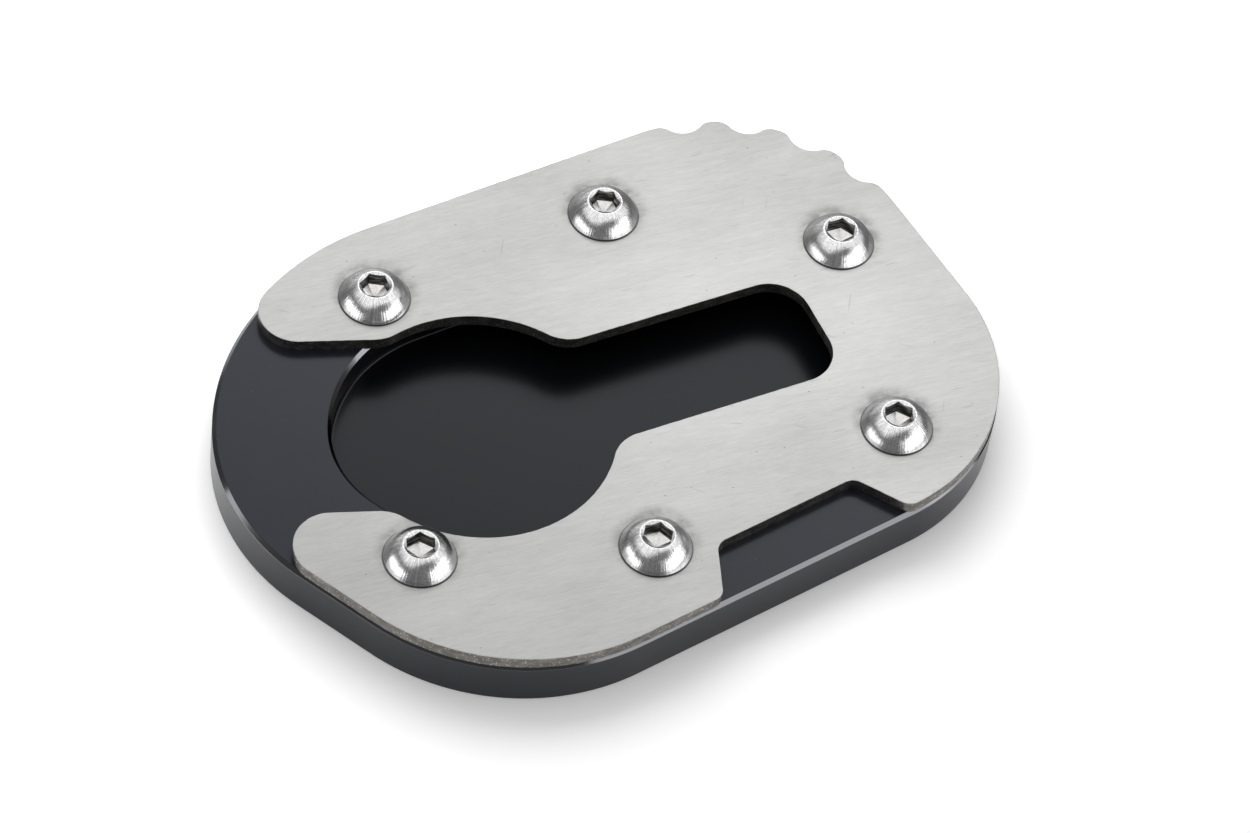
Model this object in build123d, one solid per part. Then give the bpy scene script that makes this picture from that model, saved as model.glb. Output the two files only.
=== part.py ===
from build123d import *
from math import cos, radians, sin, tan
import os

# Kickstand foot enlarger for a motorcycle: a wide sole that is clamped round the small foot of a side stand.
#
# The base is a milled aluminium plate with a pocket for the stand's foot. The cover is a steel plate that
# holds the foot down in the pocket. The stand's leg comes out through its keyhole, which is open to the left
# between two fingers. Six button head screws hold the cover to the base.
#
# Frame, in millimetres: Z is up, with Z = 0 on the underside that stands on the ground. The origin is on the
# axis of the keyhole's round part, and X runs along the keyhole's slot.

# Main sizes in plan: from the left end's corner to the right side, and from the front side to the back side
PLATE_LENGTH = 120.1
PLATE_WIDTH = 83.2

# Outline of the plates in plan: where the keyhole's axis lies between five sides, and the way that each faces
FRONT_TO_KEYHOLE = 43.2
BACK_LEFT_TO_KEYHOLE = 38.6
FRONT_LEFT_TO_KEYHOLE = 36.6
FRONT_FACING = -81.5
RIGHT_FACING = 6.6
BACK_FACING = 93.7
BACK_LEFT_FACING = 157.3
FRONT_LEFT_FACING = -150.8

# How far the outline's corners are rounded, and the least straight that this leaves on the back left side
FRONT_LEFT_RADIUS = 33.7
RIGHT_END_RADIUS = 29.7
BACK_LEFT_RADIUS = 40.7
LEFT_END_RADIUS = 33.3
BACK_LEFT_STRAIGHT = 0.3

# Base plate
BASE_THICKNESS = 7.5
BASE_EDGE_CHAMFER = 0.6
BASE_GRIP_CORNER_RADIUS = 38.0

# Pocket for the stand's foot
RIM_WIDTH = 16.7
POCKET_DEPTH = 5.0
POCKET_RIM_CHAMFER = 0.6

# Cover plate
COVER_THICKNESS = 2.0
COVER_SETBACK = 0.15

# Keyhole in the cover
KEYHOLE_RADIUS = 20.3
SLOT_WIDTH = 19.1
SLOT_END_TO_RIGHT_SIDE = 22.8
SLOT_CORNER_RADIUS = 6.0

# Mouth that opens the keyhole to the left, between the two fingers
MOUTH_WIDTH = 31.3
MOUTH_OFFSET = 0.7
MOUTH_DIRECTION = 161.5

# Notch in the cover's front edge
NOTCH_ALONG_FRONT = 53.4
NOTCH_INNER_LENGTH = 23.9
NOTCH_DEPTH = 8.2
NOTCH_SIDE_ANGLE = 61.5
NOTCH_CORNER_RADIUS = 2.4

# Scallops round the cover's back right corner, where a boot grips the sole
SCALLOP_COUNT = 4
SCALLOP_START_ANGLE = 22.1
SCALLOP_PITCH_ANGLE = 18.9
SCALLOP_RADIUS = 3.6
SCALLOP_DEPTH = 2.0

# How far the cover's outward corners are rounded: round the keyhole and its fingers, and along the outer edge
KEYHOLE_CORNER_RADIUS = 5.8
EDGE_CORNER_RADIUS = 2.2

# M6 button head screws with a hexagon socket
THREAD_DIAMETER = 6.0
SCREW_LENGTH = 8.0
HEAD_DIAMETER = 10.5
HEAD_HEIGHT = 3.1
HEAD_RIM_HEIGHT = 0.35
HEAD_LAND_DIAMETER = 5.8
SOCKET_ACROSS_FLATS = 4.0
SOCKET_DEPTH = 2.4

# Screws: how far they stand outside the pocket, the direction of each from the middle and its socket's turn
SCREW_TO_POCKET = 4.6
THREAD_CLEARANCE = 0.05
COVER_HOLE_CLEARANCE = 0.3
SCREWS = {
    "screw_back_left": (133.1, 30.0),
    "screw_back_middle": (66.1, 31.0),
    "screw_right_back": (15.9, 58.0),
    "screw_right_front": (-30.7, 8.0),
    "screw_front_middle": (-100.9, 54.0),
    "screw_front_left": (-153.6, 10.0),
}

SCREW_INSET = RIM_WIDTH - SCREW_TO_POCKET
COVER_TOP = BASE_THICKNESS + COVER_THICKNESS


def meeting_point(side, next_side):
    """Where two sides of the outline meet, each given by its distance from the keyhole's axis and facing."""
    distance, facing = side
    next_distance, next_facing = next_side
    turn = radians(next_facing - facing)
    along = (next_distance - distance * cos(turn)) / sin(turn)
    return Vector(distance, along).rotate(Axis.Z, facing)


BACK_LEFT_SIDE = (BACK_LEFT_TO_KEYHOLE, BACK_LEFT_FACING)
FRONT_LEFT_SIDE = (FRONT_LEFT_TO_KEYHOLE, FRONT_LEFT_FACING)
FRONT_SIDE = (FRONT_TO_KEYHOLE, FRONT_FACING)
BACK_SIDE = (PLATE_WIDTH - FRONT_TO_KEYHOLE, BACK_FACING)
LEFT_END = meeting_point(BACK_LEFT_SIDE, FRONT_LEFT_SIDE)
RIGHT_SIDE = (PLATE_LENGTH + LEFT_END.X, RIGHT_FACING)
SLOT_END = PLATE_LENGTH + LEFT_END.X - SLOT_END_TO_RIGHT_SIDE
FRONT_LEFT = meeting_point(FRONT_LEFT_SIDE, FRONT_SIDE)
FRONT_RIGHT = meeting_point(FRONT_SIDE, RIGHT_SIDE)
BACK_RIGHT = meeting_point(RIGHT_SIDE, BACK_SIDE)
BACK_LEFT = meeting_point(BACK_SIDE, BACK_LEFT_SIDE)


def half_angle(before, corner, after):
    """Half the angle between the two sides that meet at a corner, in radians."""
    return radians((before - corner).get_angle(after - corner)) / 2


def left_end_radius():
    """The left end's rounding, in the room that the back left corner's rounding leaves on their side."""
    side = (LEFT_END - BACK_LEFT).length
    used = BACK_LEFT_RADIUS / tan(half_angle(BACK_RIGHT, BACK_LEFT, LEFT_END))
    room = side - used - BACK_LEFT_STRAIGHT
    return min(LEFT_END_RADIUS, room * tan(half_angle(BACK_LEFT, LEFT_END, FRONT_LEFT)))


def plate_outline(inset=0.0, back_right_radius=RIGHT_END_RADIUS):
    """The enlarger in plan, or the part of it that lies at least the inset inside its edge."""
    corners = [FRONT_LEFT, FRONT_RIGHT, BACK_RIGHT, BACK_LEFT, LEFT_END]
    radii = [FRONT_LEFT_RADIUS, RIGHT_END_RADIUS, back_right_radius, BACK_LEFT_RADIUS, left_end_radius()]
    plan = make_face(FilletPolyline(*corners, radius=radii, close=True))
    return offset(plan, amount=-inset) if inset else plan


def eased(plan, radius):
    """The plan with each outward corner rounded, so that a disc of this radius fits into it."""
    return offset(offset(plan, amount=-radius), amount=radius)


def keyhole():
    """The round hole, its slot and the mouth, which runs out past the left end."""
    slot = Pos(SLOT_END / 2, 0) * Rectangle(SLOT_END, SLOT_WIDTH)
    slot = fillet(slot.vertices().group_by(Axis.X)[-1], SLOT_CORNER_RADIUS)
    reach = LEFT_END.length + RIM_WIDTH
    mouth = Rot(0, 0, MOUTH_DIRECTION) * Pos(reach / 2, -MOUTH_OFFSET) * Rectangle(reach, MOUTH_WIDTH)
    return Circle(KEYHOLE_RADIUS) + slot + mouth


def notch():
    """A trapezoid that widens towards the front edge and runs out past it."""
    front = Plane(FRONT_LEFT, x_dir=FRONT_RIGHT - FRONT_LEFT, z_dir=(0, 0, 1))
    inner_edge = COVER_SETBACK + NOTCH_DEPTH
    height = 2 * inner_edge
    outer_length = NOTCH_INNER_LENGTH + 2 * height / tan(radians(NOTCH_SIDE_ANGLE))
    cut = Trapezoid(outer_length, height, NOTCH_SIDE_ANGLE, align=(Align.CENTER, Align.MAX))
    cut = fillet(cut.vertices().group_by(Axis.Y)[-1], NOTCH_CORNER_RADIUS)
    return front * Pos(NOTCH_ALONG_FRONT, inner_edge) * cut


def scallops():
    """Round bites, evenly spaced about the centre of the back right corner's rounding."""
    inward = (FRONT_RIGHT - BACK_RIGHT).normalized() + (BACK_LEFT - BACK_RIGHT).normalized()
    from_corner = RIGHT_END_RADIUS / sin(half_angle(FRONT_RIGHT, BACK_RIGHT, BACK_LEFT))
    centre = Pos(BACK_RIGHT + inward.normalized() * from_corner)
    reach = RIGHT_END_RADIUS - COVER_SETBACK - SCALLOP_DEPTH + SCALLOP_RADIUS
    angles = [SCALLOP_START_ANGLE + number * SCALLOP_PITCH_ANGLE for number in range(SCALLOP_COUNT)]
    return Sketch() + [centre * Rot(0, 0, angle) * Pos(reach, 0) * Circle(SCALLOP_RADIUS) for angle in angles]


def screw_places():
    """Each screw's axis, on a line that runs round at one distance inside the edge, and its socket's turn."""
    plan = plate_outline(SCREW_INSET)
    middle = Pos(plan.bounding_box().center())
    places = {}
    for name, (direction, turn) in SCREWS.items():
        outward = middle * Rot(0, 0, direction) * Line((0, 0), (PLATE_LENGTH, 0))
        places[name] = Pos((plan & outward).edge() @ 1) * Rot(0, 0, turn)
    return places


def drilled(plate, places, clearance):
    """The plate with a hole right through it at each screw."""
    hole = extrude(Circle(THREAD_DIAMETER / 2 + clearance), COVER_TOP)
    return plate - [place * hole for place in places]


def base_plate(places):
    """The milled plate with its pocket, chamfered where the edges can be touched."""
    plate = extrude(plate_outline(back_right_radius=BASE_GRIP_CORNER_RADIUS), BASE_THICKNESS)
    plate = chamfer(plate.faces().sort_by(Axis.Z)[-1].edges(), BASE_EDGE_CHAMFER)
    pocket_plan = plate_outline(RIM_WIDTH + POCKET_RIM_CHAMFER)
    pocket = Pos(0, 0, BASE_THICKNESS - POCKET_DEPTH) * extrude(pocket_plan, POCKET_DEPTH)
    plate -= pocket
    rim = plate.faces().sort_by(Axis.Z)[-1].inner_wires()[0]
    plate = chamfer(rim.edges(), POCKET_RIM_CHAMFER)
    return drilled(plate, places, THREAD_CLEARANCE)


def cover_plate(places):
    """The cover, cut from sheet."""
    plan = eased(plate_outline(COVER_SETBACK) - keyhole(), KEYHOLE_CORNER_RADIUS)
    plan = eased(plan - notch() - scallops(), EDGE_CORNER_RADIUS)
    plate = Pos(0, 0, BASE_THICKNESS) * extrude(plan, COVER_THICKNESS)
    return drilled(plate, places, COVER_HOLE_CLEARANCE)


def dome_radius():
    """The dome is part of a ball that is centred on the screw's axis and meets both the rim and the land."""
    rim, land = HEAD_DIAMETER / 2, HEAD_LAND_DIAMETER / 2
    rise = HEAD_HEIGHT - HEAD_RIM_HEIGHT
    below_rim = (rim**2 - land**2 - rise**2) / (2 * rise)
    return (rim**2 + below_rim**2) ** 0.5


def screw():
    """One button head screw, with the underside of its head at Z = 0."""
    rim, land, thread = HEAD_DIAMETER / 2, HEAD_LAND_DIAMETER / 2, THREAD_DIAMETER / 2
    axis_to_rim = Polyline(
        (0, HEAD_HEIGHT),
        (0, -SCREW_LENGTH),
        (thread, -SCREW_LENGTH),
        (thread, 0),
        (rim, 0),
        (rim, HEAD_RIM_HEIGHT),
    )
    dome = RadiusArc((rim, HEAD_RIM_HEIGHT), (land, HEAD_HEIGHT), -dome_radius())
    top = Line((land, HEAD_HEIGHT), (0, HEAD_HEIGHT))
    return revolve(Plane.XZ * make_face(axis_to_rim + dome + top), Axis.Z) - socket()


def socket():
    """The hexagon socket's hollow."""
    hexagon = RegularPolygon(SOCKET_ACROSS_FLATS / 2, side_count=6, major_radius=False)
    return Pos(0, 0, HEAD_HEIGHT - SOCKET_DEPTH) * extrude(hexagon, SOCKET_DEPTH)


def main():
    places = screw_places()
    nodes = {"base_plate": base_plate(places.values()), "cover_plate": cover_plate(places.values())}
    for name, place in places.items():
        nodes[name] = Pos(0, 0, COVER_TOP) * place * screw()
    os.makedirs("parts", exist_ok=True)
    for name, node in nodes.items():
        node.label = name
        export_step(node, f"parts/{name}.step")


main()
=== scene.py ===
from math import atan2, ceil, cos, hypot, inf, pi, radians, sin, tan

import bmesh
import bpy
from bpy.props import FloatProperty, FloatVectorProperty, PointerProperty
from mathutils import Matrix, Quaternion, Vector, noise
from mathutils.geometry import tessellate_polygon


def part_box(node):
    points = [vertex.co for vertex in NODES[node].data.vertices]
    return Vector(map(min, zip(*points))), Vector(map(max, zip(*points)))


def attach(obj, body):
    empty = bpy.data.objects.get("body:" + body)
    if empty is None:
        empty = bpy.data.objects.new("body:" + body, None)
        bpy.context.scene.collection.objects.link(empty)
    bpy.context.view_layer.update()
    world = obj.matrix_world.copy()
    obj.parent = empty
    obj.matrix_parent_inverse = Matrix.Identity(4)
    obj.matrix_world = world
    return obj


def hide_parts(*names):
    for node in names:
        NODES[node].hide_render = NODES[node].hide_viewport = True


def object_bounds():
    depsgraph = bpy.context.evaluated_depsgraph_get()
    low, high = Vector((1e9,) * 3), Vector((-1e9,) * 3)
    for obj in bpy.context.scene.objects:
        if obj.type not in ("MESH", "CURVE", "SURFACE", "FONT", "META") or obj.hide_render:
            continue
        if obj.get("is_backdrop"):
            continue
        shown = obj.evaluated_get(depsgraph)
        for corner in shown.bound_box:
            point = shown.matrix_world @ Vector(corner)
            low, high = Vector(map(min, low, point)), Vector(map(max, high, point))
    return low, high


# Kickstand foot enlarger: a black anodised base plate with a pocket, a brushed stainless cover with a
# keyhole, and six polished button head screws. Everything is in metres, with Z up and the underside at Z = 0.

bl_info = {
    "name": "Kickstand Foot Enlarger",
    "version": (1, 0, 0),
    "blender": (4, 5, 0),
    "location": "3D View > Sidebar > Foot Enlarger",
    "description": "Builds a kickstand foot enlarger round its CAD plates and screws, on a pale floor",
    "category": "Object",
}

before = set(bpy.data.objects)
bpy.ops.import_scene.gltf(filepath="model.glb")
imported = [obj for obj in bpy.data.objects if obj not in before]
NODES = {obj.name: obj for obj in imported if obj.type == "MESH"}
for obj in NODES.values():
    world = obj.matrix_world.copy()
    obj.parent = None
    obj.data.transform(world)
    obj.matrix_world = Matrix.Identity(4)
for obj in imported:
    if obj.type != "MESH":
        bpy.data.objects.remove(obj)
CAD_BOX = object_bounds()
SCREW_NODES = sorted(name for name in NODES if name.startswith("screw"))
BODY = "root"
MM = 0.001

BASE_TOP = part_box("base_plate")[1].z
COVER_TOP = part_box("cover_plate")[1].z
HEAD_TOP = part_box(SCREW_NODES[0])[1].z
HEAD_RADIUS = (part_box(SCREW_NODES[0])[1].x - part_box(SCREW_NODES[0])[0].x) / 2
SCREW_LENGTH = COVER_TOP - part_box(SCREW_NODES[0])[0].z

# How close two CAD heights are when they are the same
SAME_HEIGHT = 0.01 * MM
# Faces that meet at more than this angle have a sharp edge between them
SHARP = radians(35)
# The largest step round a curve of the plates' outlines
CURVE_STEP = radians(1.5)
# The cover's cut edge strays in and out, so its points are no further apart than this
CUT_STEP = 0.25 * MM
# How the cut edge strays: how fast its finer waves weaken, how much finer each is, and how many there are
CUT_WAVES = (0.8, 2.0, 3)
# Lines this far beside a rounded edge keep its shading off the flat faces
HOLD = 0.06 * MM
# A plate's flat faces start this far inside its edges
MARGIN = 4 * HOLD
# A rounded edge that reaches further than this is a large one, with more steps round it
LARGE_EDGE = 0.24 * MM
LARGE_EDGE_STEPS = 8
SMALL_EDGE_STEPS = 3

# A screw has this many points round it, the same number for each flat of its socket
POINTS_ROUND = 120
HOLE_POINTS_ROUND = 48
DOME_STEPS = 14
STEPS_A_PITCH = 8
# The thread's depth as a share of its pitch, and how steep its flanks are beside those of a plain zigzag
THREAD_DEPTH = 0.55
THREAD_STEEPNESS = 1.4
# The tapped holes are this much wider than the screws, and wider still at their mouths
THREAD_PLAY = 0.05 * MM
HOLE_COUNTERSINK = 0.25 * MM
# The socket's mouth has this rounding, and its countersink starts with a stretch this wide
MOUTH_ROUNDING = 0.03 * MM
BRINK = 0.1 * MM

# What the anodised skin takes from a reflection
SKIN_TINT = (0.9, 0.93, 1.0, 1.0)
# The skin is thin where the chamfers were cut, and the metal gleams through it
CHAMFER_COLOUR = (0.17, 0.173, 0.18, 1.0)
# The cover was brushed at this angle to its slot
BRUSHING = radians(-5)
# The cover's scratches: their angle, their cells per millimetre along and across them, their size in a cell,
# and the share of the cells that hold one
SCRATCHES = (
    (-3, 0.1, 2.4, 0.14, 0.08),
    (-19, 0.08, 2.9, 0.13, 0.07),
    (58, 0.06, 2.4, 0.13, 0.05),
    (-40, 0.09, 2.6, 0.13, 0.04),
)
# In millimetres, how far the painted shadow reaches out from a screw's head and its shift, as if cast, and
# how far the painted contact shade round each head reaches
SHADOW_REACH = 2.0
SHADOW_SHIFT = Vector((0.5, 0.8))
CONTACT_SHADE_REACH = 0.28

# The floor lies this far under the object
FLOOR_GAP = 0.02 * MM
# The room is brightest in this direction, behind the object, and down to this cosine of the angle from it
WINDOW_DIRECTION = (cos(radians(80)), sin(radians(80)), 0.0)
WINDOW_EDGE = 0.7
# Each lamp's place, what it faces, its width and height, and its turn about the line between them in degrees.
# Its brightness is the stage's setting of the same name.
LAMPS = {
    "overhead_box": ((-0.025, 0.07, 0.25), (-0.025, 0.07, 0.0), (0.55, 0.46), 0),
    "overhead_panel": ((0.13, 0.225, 0.249), (0.13, 0.225, 0.0), (0.4, 0.16), -45),
    "left_box": ((-0.31, 0.04, 0.055), (0.0, 0.04, 0.055), (0.34, 0.11), 0),
    "right_box": ((0.19, -0.21, 0.087), (0.0, 0.0588, 0.087), (0.34, 0.17), 0),
    "side_panel": ((0.42, -0.12, 0.27), (0.0, 0.0, 0.0), (0.5, 0.28), 0),
    "back_box": ((0.06, 0.36, 0.42), (0.0, 0.0, 0.0), (0.6, 0.4), 0),
}
# Lamps that only show as reflections, and those that never do
REFLECTION_LAMPS = ("left_box", "right_box", "side_panel")
SOFT_LAMPS = ("back_box",)


# Outlines of the plates, read from the frame

def flat_loops(node, height):
    """The closed edges of a node's flat face at a height, with the metal on the left as seen from above."""
    mesh = NODES[node].data
    places, edges = {}, set()
    for face in mesh.polygons:
        corners = [mesh.vertices[index].co for index in face.vertices]
        if any(abs(corner.z - height) > SAME_HEIGHT for corner in corners):
            continue
        if face.normal.z < 0:
            corners.reverse()
        keys = [(round(corner.x, 6), round(corner.y, 6)) for corner in corners]
        places.update(zip(keys, (corner.xy for corner in corners)))
        edges.update(zip(keys, keys[1:] + keys[:1]))
    following = {start: end for start, end in edges if (end, start) not in edges}
    loops = []
    while following:
        first, key = following.popitem()
        loop = [places[first]]
        while key != first:
            loop.append(places[key])
            key = following.pop(key)
        loops.append(loop)
    return loops


def area(loop):
    """The area inside a loop, which is negative round a hole."""
    return sum(a.cross(b) for a, b in zip(loop, loop[1:] + loop[:1])) / 2


def smooth_outline(loop, longest_step=inf):
    """The true curve of a loop that turns smoothly, as points with the direction out of the metal at each.

    The CAD mesh has straight sides between points of the curve. Where two sides meet, the loop turns by half
    of what the curve turns along both, so each side's own turn follows from the one before it.
    """
    longest = max(range(len(loop)), key=lambda number: (loop[number] - loop[number - 1]).length)
    loop = loop[longest - 1:] + loop[:longest - 1] if longest else loop[-1:] + loop[:-1]
    sides = [end - start for start, end in zip(loop, loop[1:] + loop[:1])]
    outline = []
    turn = 0.0
    for number, side in enumerate(sides):
        if number:
            turn = -2 * sides[number - 1].angle_signed(side) - turn
        heading = atan2(side.y, side.x) - turn / 2
        steps = max(1, ceil(abs(turn) / CURVE_STEP), ceil(side.length / longest_step))
        for step in range(steps):
            turned = turn * step / steps
            share = sin(turned / 2) / sin(turn / 2) if abs(turn) > CURVE_STEP / 100 else step / steps
            chord = heading + turned / 2
            point = loop[number] + Vector((cos(chord), sin(chord))) * side.length * share
            outline.append((point, Vector((sin(heading + turned), -cos(heading + turned)))))
    return outline


def round_outline(centre, radius, points):
    """A hole's edge, with its directions pointing out of the metal, into the hole."""
    angles = [2 * pi * number / points for number in range(points)]
    inward = [Vector((-cos(angle), -sin(angle))) for angle in angles]
    return [(centre - direction * radius, direction) for direction in inward]


def screw_axis(node):
    low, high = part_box(node)
    return ((low + high) / 2).xy


# Surfaces, made from rings of points

def eased(corners):
    """A profile's line through its corners, each given as (out, up) and, where it is rounded, its radius."""
    points = [Vector(corner[:2]) for corner in corners]
    line = [points[0]]
    for number in range(1, len(corners) - 1):
        point = points[number]
        if len(corners[number]) < 3:
            line.append(point)
            continue
        back = (points[number - 1] - point).normalized()
        onward = (points[number + 1] - point).normalized()
        reach = corners[number][2] * tan((pi - back.angle(onward)) / 2)
        steps = LARGE_EDGE_STEPS if reach > LARGE_EDGE else SMALL_EDGE_STEPS
        line.append(point + back * (reach + HOLD))
        for step in range(steps + 1):
            share = step / steps
            line.append(point + back * reach * (1 - share) ** 2 + onward * reach * share ** 2)
        line.append(point + onward * (reach + HOLD))
    return line + [points[-1]]


class Surface:
    """A piece's surface while it is made: rings of points, bands of faces between them, and flat faces."""

    def __init__(self):
        self.mesh = bmesh.new()

    def ring(self, points):
        return [self.mesh.verts.new(point) for point in points]

    def band(self, first, second, finish=0):
        """Faces from each ring point to the next, between two rings of as many points."""
        for corners in zip(first, first[1:] + first[:1], second[1:] + second[:1], second):
            self.mesh.faces.new(corners).material_index = finish

    def flat(self, *rings, finish=0):
        """A flat face inside the first ring, with the other rings as holes in it."""
        corners = [corner for ring in rings for corner in ring]
        for triangle in tessellate_polygon([[corner.co for corner in ring] for ring in rings]):
            self.mesh.faces.new([corners[index] for index in triangle]).material_index = finish

    def wall(self, outline, profile, finish_at=lambda height: 0, raggedness=0.0):
        """Bands along an outline, one for each stretch of the profile, and the first and the last ring.

        A ragged wall's points lie a little in or out, as the cutting beam left them.
        """
        shifts = [raggedness * noise.fractal((*point / MM, 0), *CUT_WAVES) for point, direction in outline]
        rings = []
        for out, up in profile:
            points = []
            for (point, direction), shift in zip(outline, shifts):
                points.append((*(point + direction * (out + shift)), up))
            rings.append(self.ring(points))
        for first, second in zip(rings, rings[1:]):
            self.band(first, second, finish_at((first[0].co.z + second[0].co.z) / 2))
        return rings[0], rings[-1]

    def tip(self, ring, point, finish=0):
        """A fan of faces from a ring to one point."""
        end = self.mesh.verts.new(point)
        for first, second in zip(ring, ring[1:] + ring[:1]):
            self.mesh.faces.new((first, second, end)).material_index = finish

    def finished_mesh(self, name):
        bmesh.ops.recalc_face_normals(self.mesh, faces=self.mesh.faces)
        mesh = bpy.data.meshes.new(name)
        self.mesh.to_mesh(mesh)
        self.mesh.free()
        return mesh

    def piece(self, name, materials, slot, node, place=(0, 0, 0), turn=0.0):
        """The finished piece, which stands for a CAD node. Its mesh may be made round an axis of its own."""
        mesh = self.finished_mesh(name)
        mesh.shade_smooth()
        mesh.set_sharp_from_angle(angle=SHARP)
        for material in materials:
            mesh.materials.append(material)
        piece = bpy.data.objects.new(name, mesh)
        piece.location = place
        piece.rotation_euler.z = turn
        bpy.context.scene.collection.objects.link(piece)
        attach(piece, BODY)
        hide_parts(node)


# Shader nodes

class Wire:
    """A node's output. Sums and products with it are Math nodes."""

    def __init__(self, shader, socket):
        self.shader = shader
        self.socket = socket

    def other(self, output):
        """Another output of the same node."""
        return Wire(self.shader, self.socket.node.outputs[output])

    def maths(self, operation, *terms):
        return self.shader.node("Math", {"operation": operation}, dict(enumerate(terms)))

    def __add__(self, other):
        return self.maths("ADD", self, other)

    def __radd__(self, other):
        return self.maths("ADD", other, self)

    def __sub__(self, other):
        return self.maths("SUBTRACT", self, other)

    def __rsub__(self, other):
        return self.maths("SUBTRACT", other, self)

    def __mul__(self, other):
        return self.maths("MULTIPLY", self, other)

    def __rmul__(self, other):
        return self.maths("MULTIPLY", other, self)

    def least(self, other):
        return self.maths("MINIMUM", self, other)

    def most(self, other):
        return self.maths("MAXIMUM", self, other)


class Shader:
    """A tree of shader nodes."""

    def __init__(self, owner):
        owner.use_nodes = True
        self.tree = owner.node_tree
        self.tree.nodes.clear()

    def node(self, kind, settings=None, inputs=None, output=0):
        """A new node's output, after its settings and then its sockets' values or links are set."""
        node = self.tree.nodes.new("ShaderNode" + kind)
        for name, value in (settings or {}).items():
            setattr(node, name, value)
        for name, value in (inputs or {}).items():
            if isinstance(value, Wire):
                self.tree.links.new(value.socket, node.inputs[name])
            else:
                node.inputs[name].default_value = value
        return Wire(self, node.outputs[output]) if node.outputs else None

    def place(self):
        """Where a point of the surface is, in millimetres of its own object."""
        place = self.node("TexCoord", output="Object")
        return self.node("VectorMath", {"operation": "SCALE"}, {0: place, "Scale": 1 / MM})

    def stretched(self, place, per_mm):
        return self.node("VectorMath", {"operation": "MULTIPLY"}, {0: place, 1: per_mm})

    def distance(self, place, point):
        """How far the place is from a point."""
        return self.node("VectorMath", {"operation": "DISTANCE"}, {0: place, 1: point}, output="Value")

    def turned(self, place, angle):
        """The place as seen from axes that are turned about Z."""
        return self.node("VectorRotate", {"rotation_type": "Z_AXIS"}, {"Vector": place, "Angle": -angle})

    def noise(self, place, per_mm, detail=2.0, roughness=0.5):
        """Soft noise from 0 to 1, with its own number of waves per millimetre along each axis."""
        place = self.stretched(place, per_mm)
        inputs = {"Vector": place, "Scale": 1.0, "Detail": detail, "Roughness": roughness}
        return self.node("TexNoise", inputs=inputs)

    def fade(self, value, start, end):
        """0 where the value is at the start or before it, 1 at the end or past it, and smooth between."""
        inputs = {"Value": value, "From Min": start, "From Max": end}
        return self.node("MapRange", {"interpolation_type": "SMOOTHSTEP"}, inputs)

    def spots(self, place, per_mm, size, share):
        """Spots in a share of the cells of a stretched pattern: round ones are pits, long ones scratches."""
        cell = self.node("TexVoronoi", inputs={"Vector": self.stretched(place, per_mm), "Scale": 1.0})
        draw = self.node("SeparateColor", inputs={"Color": cell.other("Color")})
        return self.fade(cell, size, size / 2) * draw.maths("LESS_THAN", draw, share)

    def mix(self, share, first, second):
        """Between two colours by a share from 0 to 1."""
        inputs = {"Factor": share, 6: first, 7: second}
        return self.node("Mix", {"data_type": "RGBA"}, inputs, output=2)

    def shades(self, share, value, first, second):
        """Between two shades of one colour by a share from 0 to 1."""
        return self.mix(share, colour(value, first), colour(value, second))

    def bump(self, height, depth, strength=1.0):
        return self.node("Bump", inputs={"Height": height, "Distance": depth, "Strength": strength})


def metal(name, inputs_of):
    """A material whose Principled BSDF takes the inputs that the function makes."""
    material = bpy.data.materials.new(name)
    shader = Shader(material)
    surface = shader.node("BsdfPrincipled", inputs=inputs_of(shader))
    shader.node("OutputMaterial", inputs={"Surface": surface})
    return material


def colour(value, shade=1.0):
    return tuple(channel * shade for channel in value) + (1.0,)


# Settings

class BasePlateSettings(bpy.types.PropertyGroup):
    edge_chamfer: FloatProperty(
        name="Edge Chamfer", description="Chamfer round the plate's upper edge", default=0.6 * MM,
        unit="LENGTH")
    pocket_chamfer: FloatProperty(
        name="Pocket Chamfer", description="Chamfer round the pocket's rim", default=0.6 * MM, unit="LENGTH")
    pocket_depth: FloatProperty(
        name="Pocket Depth", description="From the plate's top to the pocket's floor", default=5.0 * MM,
        unit="LENGTH")
    floor_fillet: FloatProperty(
        name="Floor Fillet", description="Radius between the pocket's wall and floor", default=0.4 * MM,
        unit="LENGTH")
    edge_rounding: FloatProperty(
        name="Edge Rounding", description="How far the chamfers' edges are rounded", default=0.06 * MM,
        unit="LENGTH")
    colour: FloatVectorProperty(
        name="Anodised Colour", description="Colour of the anodised skin", default=(0.006, 0.007, 0.012),
        subtype="COLOR", min=0.0, max=1.0)
    pocket_colour: FloatVectorProperty(
        name="Pocket Colour", description="Colour of the skin in the pocket", default=(0.003, 0.0035, 0.0045),
        subtype="COLOR", min=0.0, max=1.0)
    skin_ior: FloatProperty(
        name="Skin Gloss", description="Index of refraction of the anodised skin", default=1.475)
    pocket_ior: FloatProperty(
        name="Pocket Gloss", description="Index of refraction of the skin in the pocket", default=1.385)
    roughness: FloatProperty(
        name="Roughness", description="Roughness of the milled and anodised faces", default=0.24,
        subtype="FACTOR", min=0.0, max=1.0)


class CoverPlateSettings(bpy.types.PropertyGroup):
    edge_break: FloatProperty(
        name="Edge Break", description="How far the cover's edges are rounded", default=0.07 * MM,
        unit="LENGTH")
    face_colour: FloatVectorProperty(
        name="Face Colour", description="Colour of the brushed faces", default=(0.465, 0.465, 0.458),
        subtype="COLOR", min=0.0, max=1.0)
    cut_colour: FloatVectorProperty(
        name="Cut Colour", description="Colour of the cut edge", default=(0.23, 0.217, 0.2),
        subtype="COLOR", min=0.0, max=1.0)
    raggedness: FloatProperty(
        name="Raggedness", description="How far the cut edge strays in and out", default=0.03 * MM,
        unit="LENGTH")
    roughness: FloatProperty(
        name="Roughness", description="Roughness of the brushed faces", default=0.3, subtype="FACTOR",
        min=0.0, max=1.0)


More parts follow.
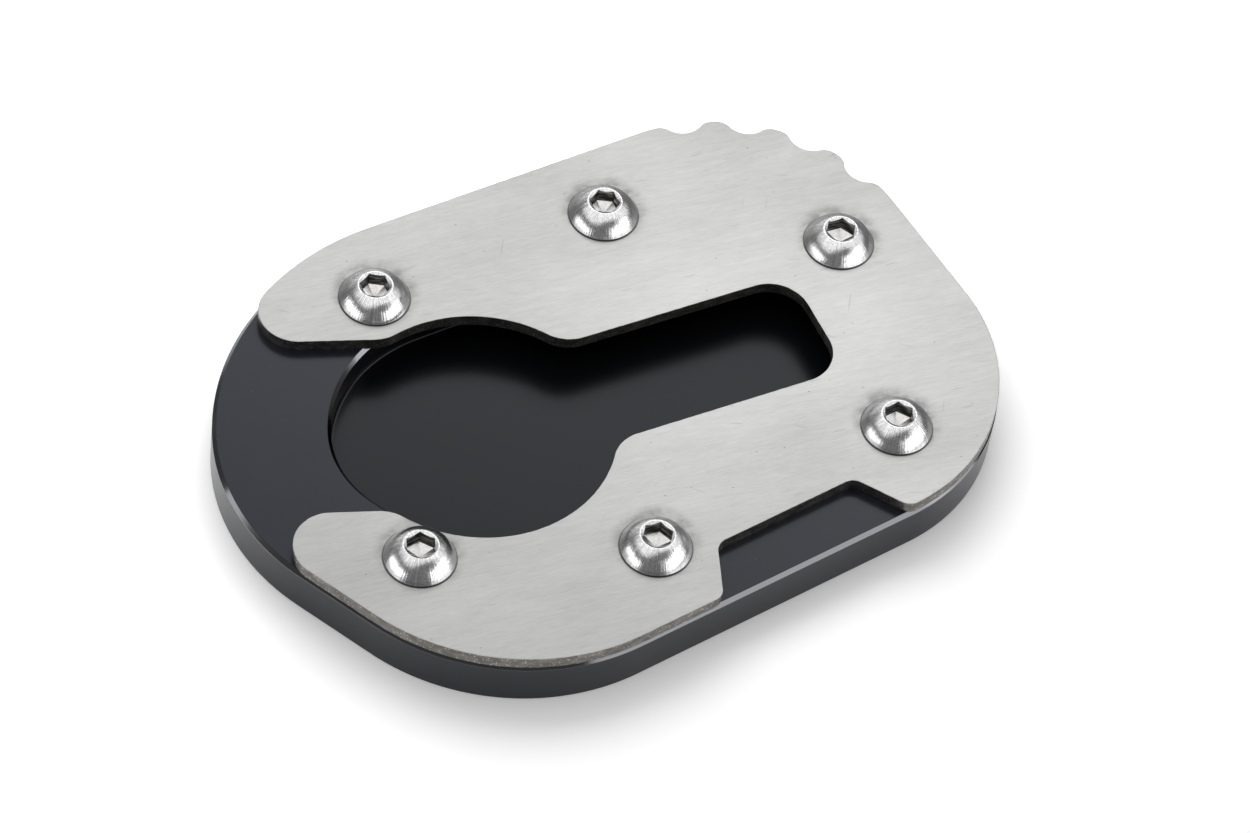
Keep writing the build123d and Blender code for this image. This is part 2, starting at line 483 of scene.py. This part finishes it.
class ScrewSettings(bpy.types.PropertyGroup):
    rim_height: FloatProperty(
        name="Rim Height", description="Height of the head's straight rim", default=0.26 * MM, unit="LENGTH")
    land_diameter: FloatProperty(
        name="Land Diameter", description="Diameter of the head's flat top", default=5.3 * MM, unit="LENGTH")
    land_rounding: FloatProperty(
        name="Land Rounding", description="Radius between the head's dome and its flat top",
        default=0.25 * MM, unit="LENGTH")
    rim_rounding: FloatProperty(
        name="Rim Rounding", description="Radius of the rim's upper edge", default=0.05 * MM, unit="LENGTH")
    seat_chamfer: FloatProperty(
        name="Seat Chamfer", description="Chamfer of the rim's lower edge", default=0.12 * MM, unit="LENGTH")
    mouth_diameter: FloatProperty(
        name="Mouth Diameter", description="Diameter of the socket's countersunk mouth", default=4.9 * MM,
        unit="LENGTH")
    across_flats: FloatProperty(
        name="Across Flats", description="Width of the hexagon socket", default=4.0 * MM, unit="LENGTH")
    socket_depth: FloatProperty(
        name="Socket Depth", description="Depth of the hexagon socket", default=2.4 * MM, unit="LENGTH")
    socket_dish: FloatProperty(
        name="Socket Dish", description="How much deeper the socket's floor is at its centre",
        default=0.7 * MM, unit="LENGTH")
    socket_edge: FloatProperty(
        name="Socket Edge", description="Chamfer of the hexagon's edges", default=0.05 * MM, unit="LENGTH")
    thread_diameter: FloatProperty(
        name="Thread Diameter", description="Outer diameter of the thread", default=6.0 * MM, unit="LENGTH")
    thread_pitch: FloatProperty(
        name="Thread Pitch", description="Height of one turn of the thread", default=1.0 * MM, unit="LENGTH")
    tip_chamfer: FloatProperty(
        name="Tip Chamfer", description="Chamfer of the shank's tip", default=0.6 * MM, unit="LENGTH")
    colour: FloatVectorProperty(
        name="Steel Colour", description="Colour of the polished steel", default=(0.96, 0.96, 0.97),
        subtype="COLOR", min=0.0, max=1.0)
    socket_colour: FloatVectorProperty(
        name="Socket Colour", description="Colour of the broached socket", default=(0.92, 0.91, 0.89),
        subtype="COLOR", min=0.0, max=1.0)
    roughness: FloatProperty(
        name="Roughness", description="Roughness of the polished heads", default=0.14, subtype="FACTOR",
        min=0.0, max=1.0)


class StageSettings(bpy.types.PropertyGroup):
    camera_place: FloatVectorProperty(
        name="Camera Place", description="Where the camera stands", default=(-0.22457, -0.40035, 0.59776),
        subtype="TRANSLATION", unit="LENGTH")
    camera_turn: FloatVectorProperty(
        name="Camera Turn", description="How the camera is turned",
        default=(radians(37.946), radians(-5.519), radians(-24.858)), subtype="EULER", unit="ROTATION")
    focal_length: FloatProperty(
        name="Focal Length", description="Focal length in millimetres, on a 36 mm wide sensor",
        default=147.78)
    floor_size: FloatProperty(
        name="Floor Size", description="Length of the square floor's sides", default=4.0, unit="LENGTH")
    floor_colour: FloatVectorProperty(
        name="Floor Colour", description="Colour of the pale floor", default=(0.8, 0.8, 0.8), subtype="COLOR",
        min=0.0, max=1.0)
    floor_glow: FloatProperty(
        name="Floor Glow", description="How much the floor is lifted towards white where it is seen",
        default=0.18, min=0.0)
    # The floor mirrored in the metal has a painted pool of light round the object, and painted shade beyond
    # it
    pool_start: FloatProperty(
        name="Pool Start", description="How far out the floor mirrored in the metal starts to darken",
        default=0.062, unit="LENGTH")
    pool_end: FloatProperty(
        name="Pool End", description="How far out the floor mirrored in the metal is dark", default=0.11,
        unit="LENGTH")
    backdrop_start: FloatProperty(
        name="Backdrop Start", description="How far out the floor starts to turn into the white backdrop",
        default=0.1, unit="LENGTH")
    backdrop_end: FloatProperty(
        name="Backdrop End", description="How far out the floor is the white backdrop", default=0.22,
        unit="LENGTH")
    # The painted shade of the far floor, as the metal mirrors it
    far_floor: FloatProperty(
        name="Far Floor", description="How pale the far floor is where it is mirrored in the metal",
        default=0.15, subtype="FACTOR", min=0.0, max=1.0)
    overhead_box: FloatProperty(
        name="Overhead Box", description="Brightness of the soft box above the object", default=0.82, min=0.0)
    overhead_panel: FloatProperty(
        name="Overhead Panel", description="What a panel adds to the far right half of the overhead box",
        default=0.75, min=0.0)
    side_panel: FloatProperty(
        name="Side Panel", description="Brightness of the raised panel on the right", default=0.75, min=0.0)
    left_box: FloatProperty(
        name="Left Box", description="Brightness of the low soft box on the left", default=1.9, min=0.0)
    right_box: FloatProperty(
        name="Right Box", description="Brightness of the low soft box in front on the right", default=1.7,
        min=0.0)
    back_box: FloatProperty(
        name="Back Box", description="Brightness of the high soft box behind, which shows in no reflection",
        default=2.5, min=0.0)
    room: FloatProperty(
        name="Room", description="Brightness of the room round the lamps", default=0.16, min=0.0)
    window: FloatProperty(
        name="Window", description="How much brighter the room is behind the object", default=0.6, min=0.0)


class FootEnlargerSettings(bpy.types.PropertyGroup):
    base_plate: PointerProperty(type=BasePlateSettings)
    cover_plate: PointerProperty(type=CoverPlateSettings)
    screws: PointerProperty(type=ScrewSettings)
    stage: PointerProperty(type=StageSettings)


# Finishes

def black_anodised(settings):
    """Milled aluminium under a black anodised skin: satin, with a fine grain, faint cutter marks and dust."""
    def inputs(shader):
        place = shader.place()
        grain = shader.noise(place, (9.0, 9.0, 9.0), detail=3.0)
        cloud = shader.noise(place, (0.12, 0.12, 0.12), detail=3.0)
        marks = shader.noise(place, (0.35, 0.35, 14.0), detail=2.0)
        dust = shader.spots(place, (0.5, 0.5, 0.5), 0.05, 0.3)
        skin = shader.shades(cloud, settings.colour, 0.8, 1.2)
        skin = shader.mix(dust, skin, colour(settings.colour, 8.0))
        # The chamfers lie between the plate's top and a bevel's height below it
        below = BASE_TOP / MM - shader.node("SeparateXYZ", inputs={"Vector": place}, output="Z")
        bevel = settings.edge_chamfer / MM
        chamfer = shader.fade(below, 0.02, 0.06) * shader.fade(below, bevel + 0.06, bevel + 0.02)
        return {
            "Base Color": shader.mix(chamfer, skin, CHAMFER_COLOUR),
            "Metallic": chamfer,
            "Roughness": settings.roughness - 0.04 + cloud * 0.06 + grain * 0.02 - chamfer * 0.12,
            "IOR": settings.skin_ior,
            "Specular Tint": SKIN_TINT,
            "Normal": shader.bump(grain * 0.5 + marks * 0.5, 0.004 * MM, 0.3),
        }
    return metal("black_anodised", inputs)


def milled_pocket(settings):
    """The pocket's floor and wall, which the cutter left smoother under the same skin, with faint arcs."""
    def inputs(shader):
        place = shader.place()
        grain = shader.noise(place, (7.0, 7.0, 7.0), detail=3.0)
        cloud = shader.noise(place, (0.1, 0.1, 0.1), detail=3.0)
        sweep = shader.noise(place, (0.2, 5.0, 0.2), detail=2.0)
        return {
            "Base Color": shader.shades(cloud, settings.pocket_colour, 0.7, 1.3),
            "Roughness": settings.roughness - 0.02 + cloud * 0.04,
            "IOR": settings.pocket_ior,
            "Specular Tint": SKIN_TINT,
            "Normal": shader.bump(grain * 0.4 + sweep * 0.6, 0.003 * MM, 0.3),
        }
    return metal("milled_pocket", inputs)


def nearest_screw(shader, place, shift=Vector((0.0, 0.0))):
    """How far a point is from the nearest of the screws' axes when they are shifted, in millimetres."""
    level = shader.stretched(place, (1, 1, 0))
    centres = [screw_axis(node) / MM + shift for node in SCREW_NODES]
    nearest, *others = [shader.distance(level, (*centre, 0)) for centre in centres]
    for distance in others:
        nearest = nearest.least(distance)
    return nearest


def brushed_stainless(settings):
    """Sheet steel with a brushed grain and handling marks, a blotchy painted shadow beside each screw's head
    that also roughens the steel, and painted contact shade round each head.
    """
    def inputs(shader):
        place = shader.place()
        brushing = shader.turned(place, BRUSHING)
        hairs = shader.noise(brushing, (0.5, 7.0, 1.0), detail=4.0, roughness=0.75)
        streaks = shader.noise(brushing, (0.12, 1.0, 1.0), detail=3.0, roughness=0.6)
        cloud = shader.noise(brushing, (0.03, 0.06, 1.0), detail=3.0)
        blotches = shader.noise(place, (0.35, 0.5, 1.0), detail=4.0, roughness=0.65)
        scratches = 0.0
        for angle, along, across, size, share in SCRATCHES:
            lying = shader.turned(place, radians(angle))
            scratches = shader.spots(lying, (along, across, 1.0), size, share).most(scratches)
        pits = shader.spots(place, (0.5, 0.8, 1.0), 0.1, 0.15)
        head = HEAD_RADIUS / MM
        # A painted shadow of each head, shifted as if cast and blotchy at its edge; the same mask also
        # roughens the steel as a smudge does
        near = shader.fade(nearest_screw(shader, place, SHADOW_SHIFT), head + SHADOW_REACH, head - 0.4)
        shadow_and_smudge = near * (shader.fade(blotches, 0.4, 0.62) * 0.7 + 0.3)
        # Painted contact shade in a thin dark ring round each head, where the head meets the cover
        contact_shade = shader.fade(nearest_screw(shader, place), head + CONTACT_SHADE_REACH, head + 0.1)
        # The darker colour of the painted shadow
        shadow_colour = colour(settings.face_colour, 0.5)
        tone = shader.shades(hairs * 0.46 + streaks * 0.16 + cloud * 0.38, settings.face_colour, 1.5, 0.5)
        # The painted shadow and then the painted contact shade are mixed into the steel's tone
        tone = shader.mix(shadow_and_smudge * 0.7, tone, shadow_colour)
        tone = shader.mix(contact_shade * 0.8, tone, colour(settings.face_colour, 0.12))
        tone = shader.mix((pits * 0.6).most(scratches * 0.45), tone, colour(settings.face_colour, 0.3))
        return {
            "Base Color": tone,
            "Metallic": 1.0,
            "Roughness": settings.roughness - 0.05 + hairs * 0.08 + cloud * 0.05 + shadow_and_smudge * 0.1,
            "Normal": shader.bump(hairs * 0.6 + streaks * 0.4 - scratches * 0.5, 0.02 * MM, 0.5),
        }
    return metal("brushed_stainless", inputs)


def cut_edge(settings):
    """The sheet's edge where a beam cut it: upright ridges, with grains that sparkle and sooty patches."""
    def inputs(shader):
        place = shader.place()
        ridges = shader.noise(place, (5.0, 5.0, 0.6), detail=2.0, roughness=0.6)
        grains = shader.noise(place, (7.0, 7.0, 7.0), detail=2.0, roughness=0.7)
        soot = shader.noise(place, (0.5, 0.5, 0.9), detail=3.0, roughness=0.6)
        specks = shader.spots(place, (3.0, 3.0, 3.0), 0.4, 0.3)
        tone = shader.shades(shader.fade(soot, 0.35, 0.65), settings.cut_colour, 0.65, 1.1)
        tone = shader.mix(specks, tone, colour(settings.cut_colour, 2.6))
        return {
            "Base Color": tone,
            "Metallic": 1.0,
            "Roughness": 0.32 + ridges * 0.1 + soot * 0.1,
            "Normal": shader.bump(ridges * 0.6 + grains * 0.4, 0.05 * MM, 0.6),
        }
    return metal("cut_edge", inputs)


def polished_stainless(settings):
    """Polished steel with lines that run out from the screw's axis, a fine grain, and nicks and scratches."""
    def inputs(shader):
        place = shader.place()
        level = shader.stretched(place, (1, 1, 0))
        outward = shader.node("VectorMath", {"operation": "NORMALIZE"}, {0: level})
        lines = shader.noise(outward, (20.0, 20.0, 20.0), detail=3.0, roughness=0.6)
        grain = shader.noise(place, (3.2, 3.2, 3.2), detail=4.0, roughness=0.7)
        film = shader.noise(place, (0.45, 0.45, 0.45), detail=3.0)
        nicks = shader.spots(place, (0.9, 1.6, 0.9), 0.08, 0.25)
        hairline = shader.spots(shader.turned(place, radians(35)), (0.3, 3.5, 0.6), 0.14, 0.2)
        marks = nicks.most(hairline)
        wear = lines * 0.6 + grain * 0.4
        tone = shader.shades(shader.fade(wear, 0.4, 0.62), settings.colour, 1.04, 0.66)
        tone = shader.mix(shader.fade(film, 0.4, 0.7) * 0.3, tone, colour(settings.colour, 0.7))
        return {
            "Base Color": shader.mix(marks * 0.6, tone, colour(settings.colour, 0.3)),
            "Metallic": 1.0,
            "Roughness": settings.roughness - 0.05 + grain * 0.08 + film * 0.1,
            "Normal": shader.bump(lines * 0.8 + grain * 0.2 - marks * 0.5, 0.1 * MM, 0.5),
        }
    return metal("polished_stainless", inputs)


def broached_socket(settings):
    """The socket's steel: walls painted dark in bands, as painted shade in the socket and the painted light
    and shade of the broach's ridges, and a brighter floor with coarse facets.
    """
    def inputs(shader):
        place = shader.place()
        height = shader.node("SeparateXYZ", inputs={"Vector": place}, output="Z")
        bottom = (HEAD_TOP - COVER_TOP - settings.socket_depth) / MM
        wall = shader.fade(height, bottom + 0.02, bottom + 0.08)
        ridges = shader.noise(place, (0.4, 0.4, 3.2), detail=2.0)
        grain = shader.noise(place, (3.0, 3.0, 3.0), detail=4.0, roughness=0.6)
        floor = shader.shades(shader.fade(grain, 0.35, 0.65), settings.socket_colour, 0.8, 1.05)
        # Painted shade on the socket's walls, in dark and lighter bands that paint the ridges' light and
        # shade
        shaded_bands = shader.shades(shader.fade(ridges, 0.45, 0.6), settings.socket_colour, 0.08, 0.5)
        return {
            "Base Color": shader.mix(wall, floor, shaded_bands),
            "Metallic": 1.0,
            "Roughness": 0.22 + grain * 0.15,
            "Normal": shader.bump(ridges * 0.5 + grain * 0.5, 0.06 * MM, 0.5),
        }
    return metal("broached_socket", inputs)


# Pieces

def thread_radius(settings, angle, height):
    """The radius of the screws' thread, the same in the tapped holes, at a height above the cover.

    A section through it is a zigzag that is cut off at its crests and roots.
    """
    turns = height / settings.thread_pitch - angle / (2 * pi)
    zigzag = abs(2 * (turns % 1.0) - 1)
    ridge = min(1.0, max(0.0, (zigzag - 0.5) * THREAD_STEEPNESS + 0.5))
    return settings.thread_diameter / 2 - THREAD_DEPTH * settings.thread_pitch * (1 - ridge)


def circle_points(count):
    return [2 * pi * number / count for number in range(count)]


class FOOT_ENLARGER_OT_base_plate(bpy.types.Operator):
    """Build the base plate with its pocket and its six tapped holes"""
    bl_idname = "foot_enlarger.base_plate"
    bl_label = "Base Plate"

    def execute(self, context):
        settings = context.scene.foot_enlarger.base_plate
        screws = context.scene.foot_enlarger.screws
        surface = Surface()
        outline = smooth_outline(max(flat_loops("base_plate", 0.0), key=area))
        rim = smooth_outline(min(flat_loops("base_plate", BASE_TOP), key=area))
        bevel, rounding = settings.edge_chamfer, settings.edge_rounding
        top, bottom = surface.wall(outline, eased([
            (-bevel - MARGIN, BASE_TOP), (-bevel, BASE_TOP, rounding), (0, BASE_TOP - bevel, rounding),
            (0, 0, 2 * rounding), (-2 * MARGIN, 0)]))
        bevel, floor = settings.pocket_chamfer, BASE_TOP - settings.pocket_depth
        rim_ring, floor_ring = surface.wall(rim, eased([
            (-MARGIN, BASE_TOP), (0, BASE_TOP, rounding), (bevel, BASE_TOP - bevel, rounding),
            (bevel, floor, settings.floor_fillet), (bevel + settings.floor_fillet + MARGIN, floor)]),
            lambda height: height < BASE_TOP - bevel)
        surface.flat(floor_ring, finish=1)
        upper, lower = [], []
        for node in SCREW_NODES:
            first, last = self.tapped_hole(surface, screws, screw_axis(node))
            upper.append(first)
            lower.append(last)
        surface.flat(top, rim_ring, *upper)
        surface.flat(bottom, *lower)
        finishes = [black_anodised(settings), milled_pocket(settings)]
        surface.piece("anodised_base", finishes, "black_anodised", "base_plate")
        return {"FINISHED"}

    def tapped_hole(self, surface, screws, axis):
        """A hole with the screws' own thread cut into its wall, and a small countersink at each end."""
        mouth = screws.thread_diameter / 2 + THREAD_PLAY + HOLE_COUNTERSINK
        steps = int(STEPS_A_PITCH * BASE_TOP / screws.thread_pitch)
        rings = []
        for step in range(steps + 1):
            height = BASE_TOP * (1 - step / steps)
            countersink = mouth - min(height, BASE_TOP - height)
            points = []
            for angle in circle_points(HOLE_POINTS_ROUND):
                radius = max(countersink, THREAD_PLAY + thread_radius(screws, angle, height - COVER_TOP))
                points.append((axis.x + radius * cos(angle), axis.y + radius * sin(angle), height))
            rings.append(surface.ring(points))
        for first, second in zip(rings, rings[1:]):
            surface.band(first, second)
        return rings[0], rings[-1]


class FOOT_ENLARGER_OT_cover_plate(bpy.types.Operator):
    """Build the cover plate with its keyhole, mouth, notch and scallops"""
    bl_idname = "foot_enlarger.cover_plate"
    bl_label = "Cover Plate"

    def execute(self, context):
        settings = context.scene.foot_enlarger.cover_plate
        surface = Surface()
        rim, ragged = settings.edge_break, settings.raggedness
        loops = flat_loops("cover_plate", BASE_TOP)
        outline = smooth_outline(max(loops, key=area), CUT_STEP)
        holes = sorted(loops, key=area)[:len(SCREW_NODES)]
        hole_radius = (-area(holes[0]) / pi) ** 0.5
        top, bottom = surface.wall(outline, eased([
            (-rim - MARGIN, COVER_TOP), (0, COVER_TOP, rim), (0, BASE_TOP, rim / 2),
            (-rim - MARGIN, BASE_TOP)]), lambda height: height < COVER_TOP - rim, ragged)
        upper, lower = [], []
        for node in SCREW_NODES:
            edge = round_outline(screw_axis(node), hole_radius, HOLE_POINTS_ROUND)
            first, last = surface.wall(edge, [(0, COVER_TOP), (0, BASE_TOP)], lambda height: 1)
            upper.append(first)
            lower.append(last)
        surface.flat(top, *upper)
        surface.flat(bottom, *lower)
        finishes = [brushed_stainless(settings), cut_edge(settings)]
        surface.piece("brushed_cover", finishes, "brushed_stainless", "cover_plate")
        return {"FINISHED"}


class FOOT_ENLARGER_OT_screws(bpy.types.Operator):
    """Build the six button head screws"""
    bl_idname = "foot_enlarger.screws"
    bl_label = "Button Head Screws"

    def execute(self, context):
        settings = context.scene.foot_enlarger.screws
        finishes = [polished_stainless(settings), broached_socket(settings)]
        for node in SCREW_NODES:
            surface = Surface()
            self.head(surface, settings)
            seat = (*screw_axis(node), COVER_TOP)
            turn = self.socket_turn(node, settings)
            surface.piece("polished_" + node, finishes, "polished_stainless", node, seat, turn)
        return {"FINISHED"}

    def socket_turn(self, node, settings):
        """The angle of one of the socket's corners, which lie furthest out on the socket's floor."""
        axis = screw_axis(node)
        floor = HEAD_TOP - settings.socket_depth
        points = [vertex.co for vertex in NODES[node].data.vertices]
        around = [point.xy - axis for point in points if abs(point.z - floor) < SAME_HEIGHT]
        corner = max(around, key=lambda away: away.length)
        return atan2(corner.y, corner.x)

    def head(self, surface, settings):
        """The screw round its own axis, from the shank's tip to the socket's bottom, with the seat at 0."""
        top, rim, land = HEAD_TOP - COVER_TOP, settings.rim_height, settings.land_diameter / 2
        mouth, flat = settings.mouth_diameter / 2, settings.across_flats / 2
        angles = circle_points(POINTS_ROUND)

        def hexagon(angle):
            """How far out the socket's wall is, with a corner at angle 0."""
            return flat / cos((angle % (pi / 3)) - pi / 6)

        def ring(radius, height):
            points = []
            for angle in angles:
                out = radius(angle) if callable(radius) else radius
                up = height(out) if callable(height) else height
                points.append((out * cos(angle), out * sin(angle), up))
            return surface.ring(points)

        def countersink(out):
            return top - (mouth - out) / tan(pi / 3)

        rise = top - rim
        below = (HEAD_RADIUS ** 2 - land ** 2 - rise ** 2) / (2 * rise)
        ball = hypot(HEAD_RADIUS, below)
        start, end = atan2(HEAD_RADIUS, below), atan2(land, below + rise)
        dome = []
        for step in range(1, DOME_STEPS):
            tilt = start + (end - start) * step / DOME_STEPS
            dome.append((ball * sin(tilt), rim - below + ball * cos(tilt)))
        chamfer, brink = settings.seat_chamfer, mouth - BRINK
        profile = eased([
            (settings.thread_diameter / 2, 0), (HEAD_RADIUS - chamfer, 0), (HEAD_RADIUS, chamfer),
            (HEAD_RADIUS, rim, settings.rim_rounding), *dome, (land, top, settings.land_rounding),
            (mouth, top, MOUTH_ROUNDING), (brink, countersink(brink))])
        outside = self.shank(settings, ring) + [ring(out, up) for out, up in profile]
        floor, edge = top - settings.socket_depth, settings.socket_edge
        outside.append(ring(lambda angle: hexagon(angle) + edge, countersink))
        inside = [
            outside[-1],
            ring(hexagon, countersink),
            ring(hexagon, lambda out: countersink(out) - edge),
            ring(hexagon, floor + edge),
            ring(lambda angle: hexagon(angle) - edge, floor),
        ]
        for first, second in zip(outside, outside[1:]):
            surface.band(first, second)
        for first, second in zip(inside, inside[1:]):
            surface.band(first, second, finish=1)
        surface.tip(inside[-1], (0, 0, floor - settings.socket_dish), finish=1)
        surface.flat(outside[0])

    def shank(self, settings, ring):
        """The threaded shank, from its chamfered tip up to the underside of the head."""
        rings = []
        steps = int(STEPS_A_PITCH * SCREW_LENGTH / settings.thread_pitch)
        tip = settings.thread_diameter / 2 - settings.tip_chamfer
        for step in range(steps):
            height = -SCREW_LENGTH * (1 - step / steps)
            taper = tip + height + SCREW_LENGTH

            def radius(angle, height=height, taper=taper):
                return min(taper, thread_radius(settings, angle, height))
            rings.append(ring(radius, height))
        return rings


class FOOT_ENLARGER_OT_stage(bpy.types.Operator):
    """Set up the floor, the lamps and the camera"""
    bl_idname = "foot_enlarger.stage"
    bl_label = "Stage"

    def execute(self, context):
        settings = context.scene.foot_enlarger.stage
        self.camera(context.scene, settings)
        self.floor(settings)
        self.world(context.scene, settings)
        for name, placing in LAMPS.items():
            lamp = self.soft_box(name, getattr(settings, name), *placing)
            lamp.visible_diffuse = name not in REFLECTION_LAMPS
            lamp.visible_glossy = name not in SOFT_LAMPS
        context.scene.view_settings.view_transform = "Standard"
        return {"FINISHED"}

    def camera(self, scene, settings):
        camera = bpy.data.cameras.new("camera")
        camera.lens = settings.focal_length
        camera.sensor_width = 36.0
        holder = bpy.data.objects.new("camera", camera)
        holder.location = settings.camera_place
        holder.rotation_euler = settings.camera_turn
        scene.collection.objects.link(holder)
        scene.camera = holder

    def floor(self, settings):
        """A pale floor that fades into a white backdrop, and that the metal mirrors in a painted pool of
        light, with painted shade beyond it.
        """
        surface = Surface()
        half = settings.floor_size / 2
        ring = surface.ring([(-half, -half, 0), (half, -half, 0), (half, half, 0), (-half, half, 0)])
        surface.flat(ring)
        mesh = surface.finished_mesh("floor")
        floor = bpy.data.objects.new("floor", mesh)
        floor.location.z = -FLOOR_GAP
        bpy.context.scene.collection.objects.link(floor)
        material = bpy.data.materials.new("pale_floor")
        shader = Shader(material)
        middle = (CAD_BOX[0] + CAD_BOX[1]) / 2 / MM
        away = shader.distance(shader.place(), (middle.x, middle.y, 0))
        # For reflections the floor is painted lit in a pool round the object and painted dark beyond it, as
        # if the light fell off
        lit_pool = shader.fade(away, settings.pool_end / MM, settings.pool_start / MM)
        distant = shader.fade(away, settings.backdrop_start / MM, settings.backdrop_end / MM)
        seen = shader.node("LightPath", output="Is Camera Ray")
        mirrored = seen.other("Is Glossy Ray")
        mirrored_lit_pool = mirrored * lit_pool

        plain = shader.node("BsdfDiffuse", inputs={"Color": colour(settings.floor_colour)})
        dark = shader.node("BsdfDiffuse", inputs={"Color": colour([settings.far_floor] * 3)})
        white = shader.node("BsdfDiffuse", inputs={"Color": (1, 1, 1, 1)})
        glow = shader.node("Emission", inputs={"Color": (1, 1, 1, 1), "Strength": settings.floor_glow})
        backdrop = shader.node("Emission", inputs={"Color": (1, 1, 1, 1), "Strength": 1.0})
        unseen = shader.node("MixShader", inputs={"Fac": mirrored - mirrored_lit_pool, 1: plain, 2: dark})
        pale = shader.node("AddShader", inputs={0: white, 1: glow})
        pale = shader.node("MixShader", inputs={"Fac": distant, 1: pale, 2: backdrop})
        mixed = shader.node("MixShader", inputs={"Fac": seen.most(mirrored_lit_pool), 1: unseen, 2: pale})
        shader.node("OutputMaterial", inputs={"Surface": mixed})
        mesh.materials.append(material)
        floor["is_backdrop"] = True

    def world(self, scene, settings):
        """White to the camera, and to everything else a dim room that is brighter behind the object."""
        world = bpy.data.worlds.new("room")
        scene.world = world
        shader = Shader(world)
        seen = shader.node("LightPath", output="Is Camera Ray")
        direction = shader.node("TexCoord", output="Generated")
        behind = {0: direction, 1: WINDOW_DIRECTION}
        facing = shader.node("VectorMath", {"operation": "DOT_PRODUCT"}, behind, output="Value")
        strength = settings.room + shader.fade(facing, WINDOW_EDGE, 1.0) * settings.window
        room = shader.node("Background", inputs={"Color": (1, 1, 1, 1), "Strength": strength})
        white = shader.node("Background", inputs={"Color": (1, 1, 1, 1), "Strength": 1.0})
        mixed = shader.node("MixShader", inputs={"Fac": seen, 1: room, 2: white})
        shader.node("OutputWorld", inputs={"Surface": mixed})

    def soft_box(self, name, brightness, place, target, size, turn):
        """A rectangular lamp that faces its target and isn't in the picture itself."""
        lamp = bpy.data.lights.new(name, "AREA")
        lamp.shape = "RECTANGLE"
        lamp.size, lamp.size_y = size
        lamp.energy = brightness * pi * size[0] * size[1]
        holder = bpy.data.objects.new(name, lamp)
        holder.location = place
        facing = Vector(target) - Vector(place)
        aim = facing.to_track_quat("-Z", "Y") @ Quaternion((0, 0, 1), radians(turn))
        holder.rotation_euler = aim.to_euler()
        holder.visible_camera = False
        bpy.context.scene.collection.objects.link(holder)
        return holder


class FOOT_ENLARGER_PT_steps(bpy.types.Panel):
    """The steps that build the foot enlarger, with their settings"""
    bl_label = "Foot Enlarger"
    bl_idname = "FOOT_ENLARGER_PT_steps"
    bl_space_type = "VIEW_3D"
    bl_region_type = "UI"
    bl_category = "Foot Enlarger"

    def draw(self, context):
        for operator, name in STEPS:
            box = self.layout.box()
            box.operator(operator.bl_idname)
            settings = getattr(context.scene.foot_enlarger, name)
            for prop in settings.bl_rna.properties:
                if not prop.is_readonly:
                    box.prop(settings, prop.identifier)


STEPS = (
    (FOOT_ENLARGER_OT_base_plate, "base_plate"),
    (FOOT_ENLARGER_OT_cover_plate, "cover_plate"),
    (FOOT_ENLARGER_OT_screws, "screws"),
    (FOOT_ENLARGER_OT_stage, "stage"),
)
CLASSES = (
    BasePlateSettings,
    CoverPlateSettings,
    ScrewSettings,
    StageSettings,
    FootEnlargerSettings,
    *(operator for operator, name in STEPS),
    FOOT_ENLARGER_PT_steps,
)


def register():
    for cls in CLASSES:
        bpy.utils.register_class(cls)
    bpy.types.Scene.foot_enlarger = PointerProperty(type=FootEnlargerSettings)


def unregister():
    del bpy.types.Scene.foot_enlarger
    for cls in reversed(CLASSES):
        bpy.utils.unregister_class(cls)


def main():
    register()
    bpy.ops.foot_enlarger.base_plate()
    bpy.ops.foot_enlarger.cover_plate()
    bpy.ops.foot_enlarger.screws()
    bpy.ops.foot_enlarger.stage()
    boxes = {"cad": CAD_BOX, "visual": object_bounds()}
    {name: [list(corner) for corner in box] for name, box in boxes.items()}


if __name__ == "__main__":
    main()
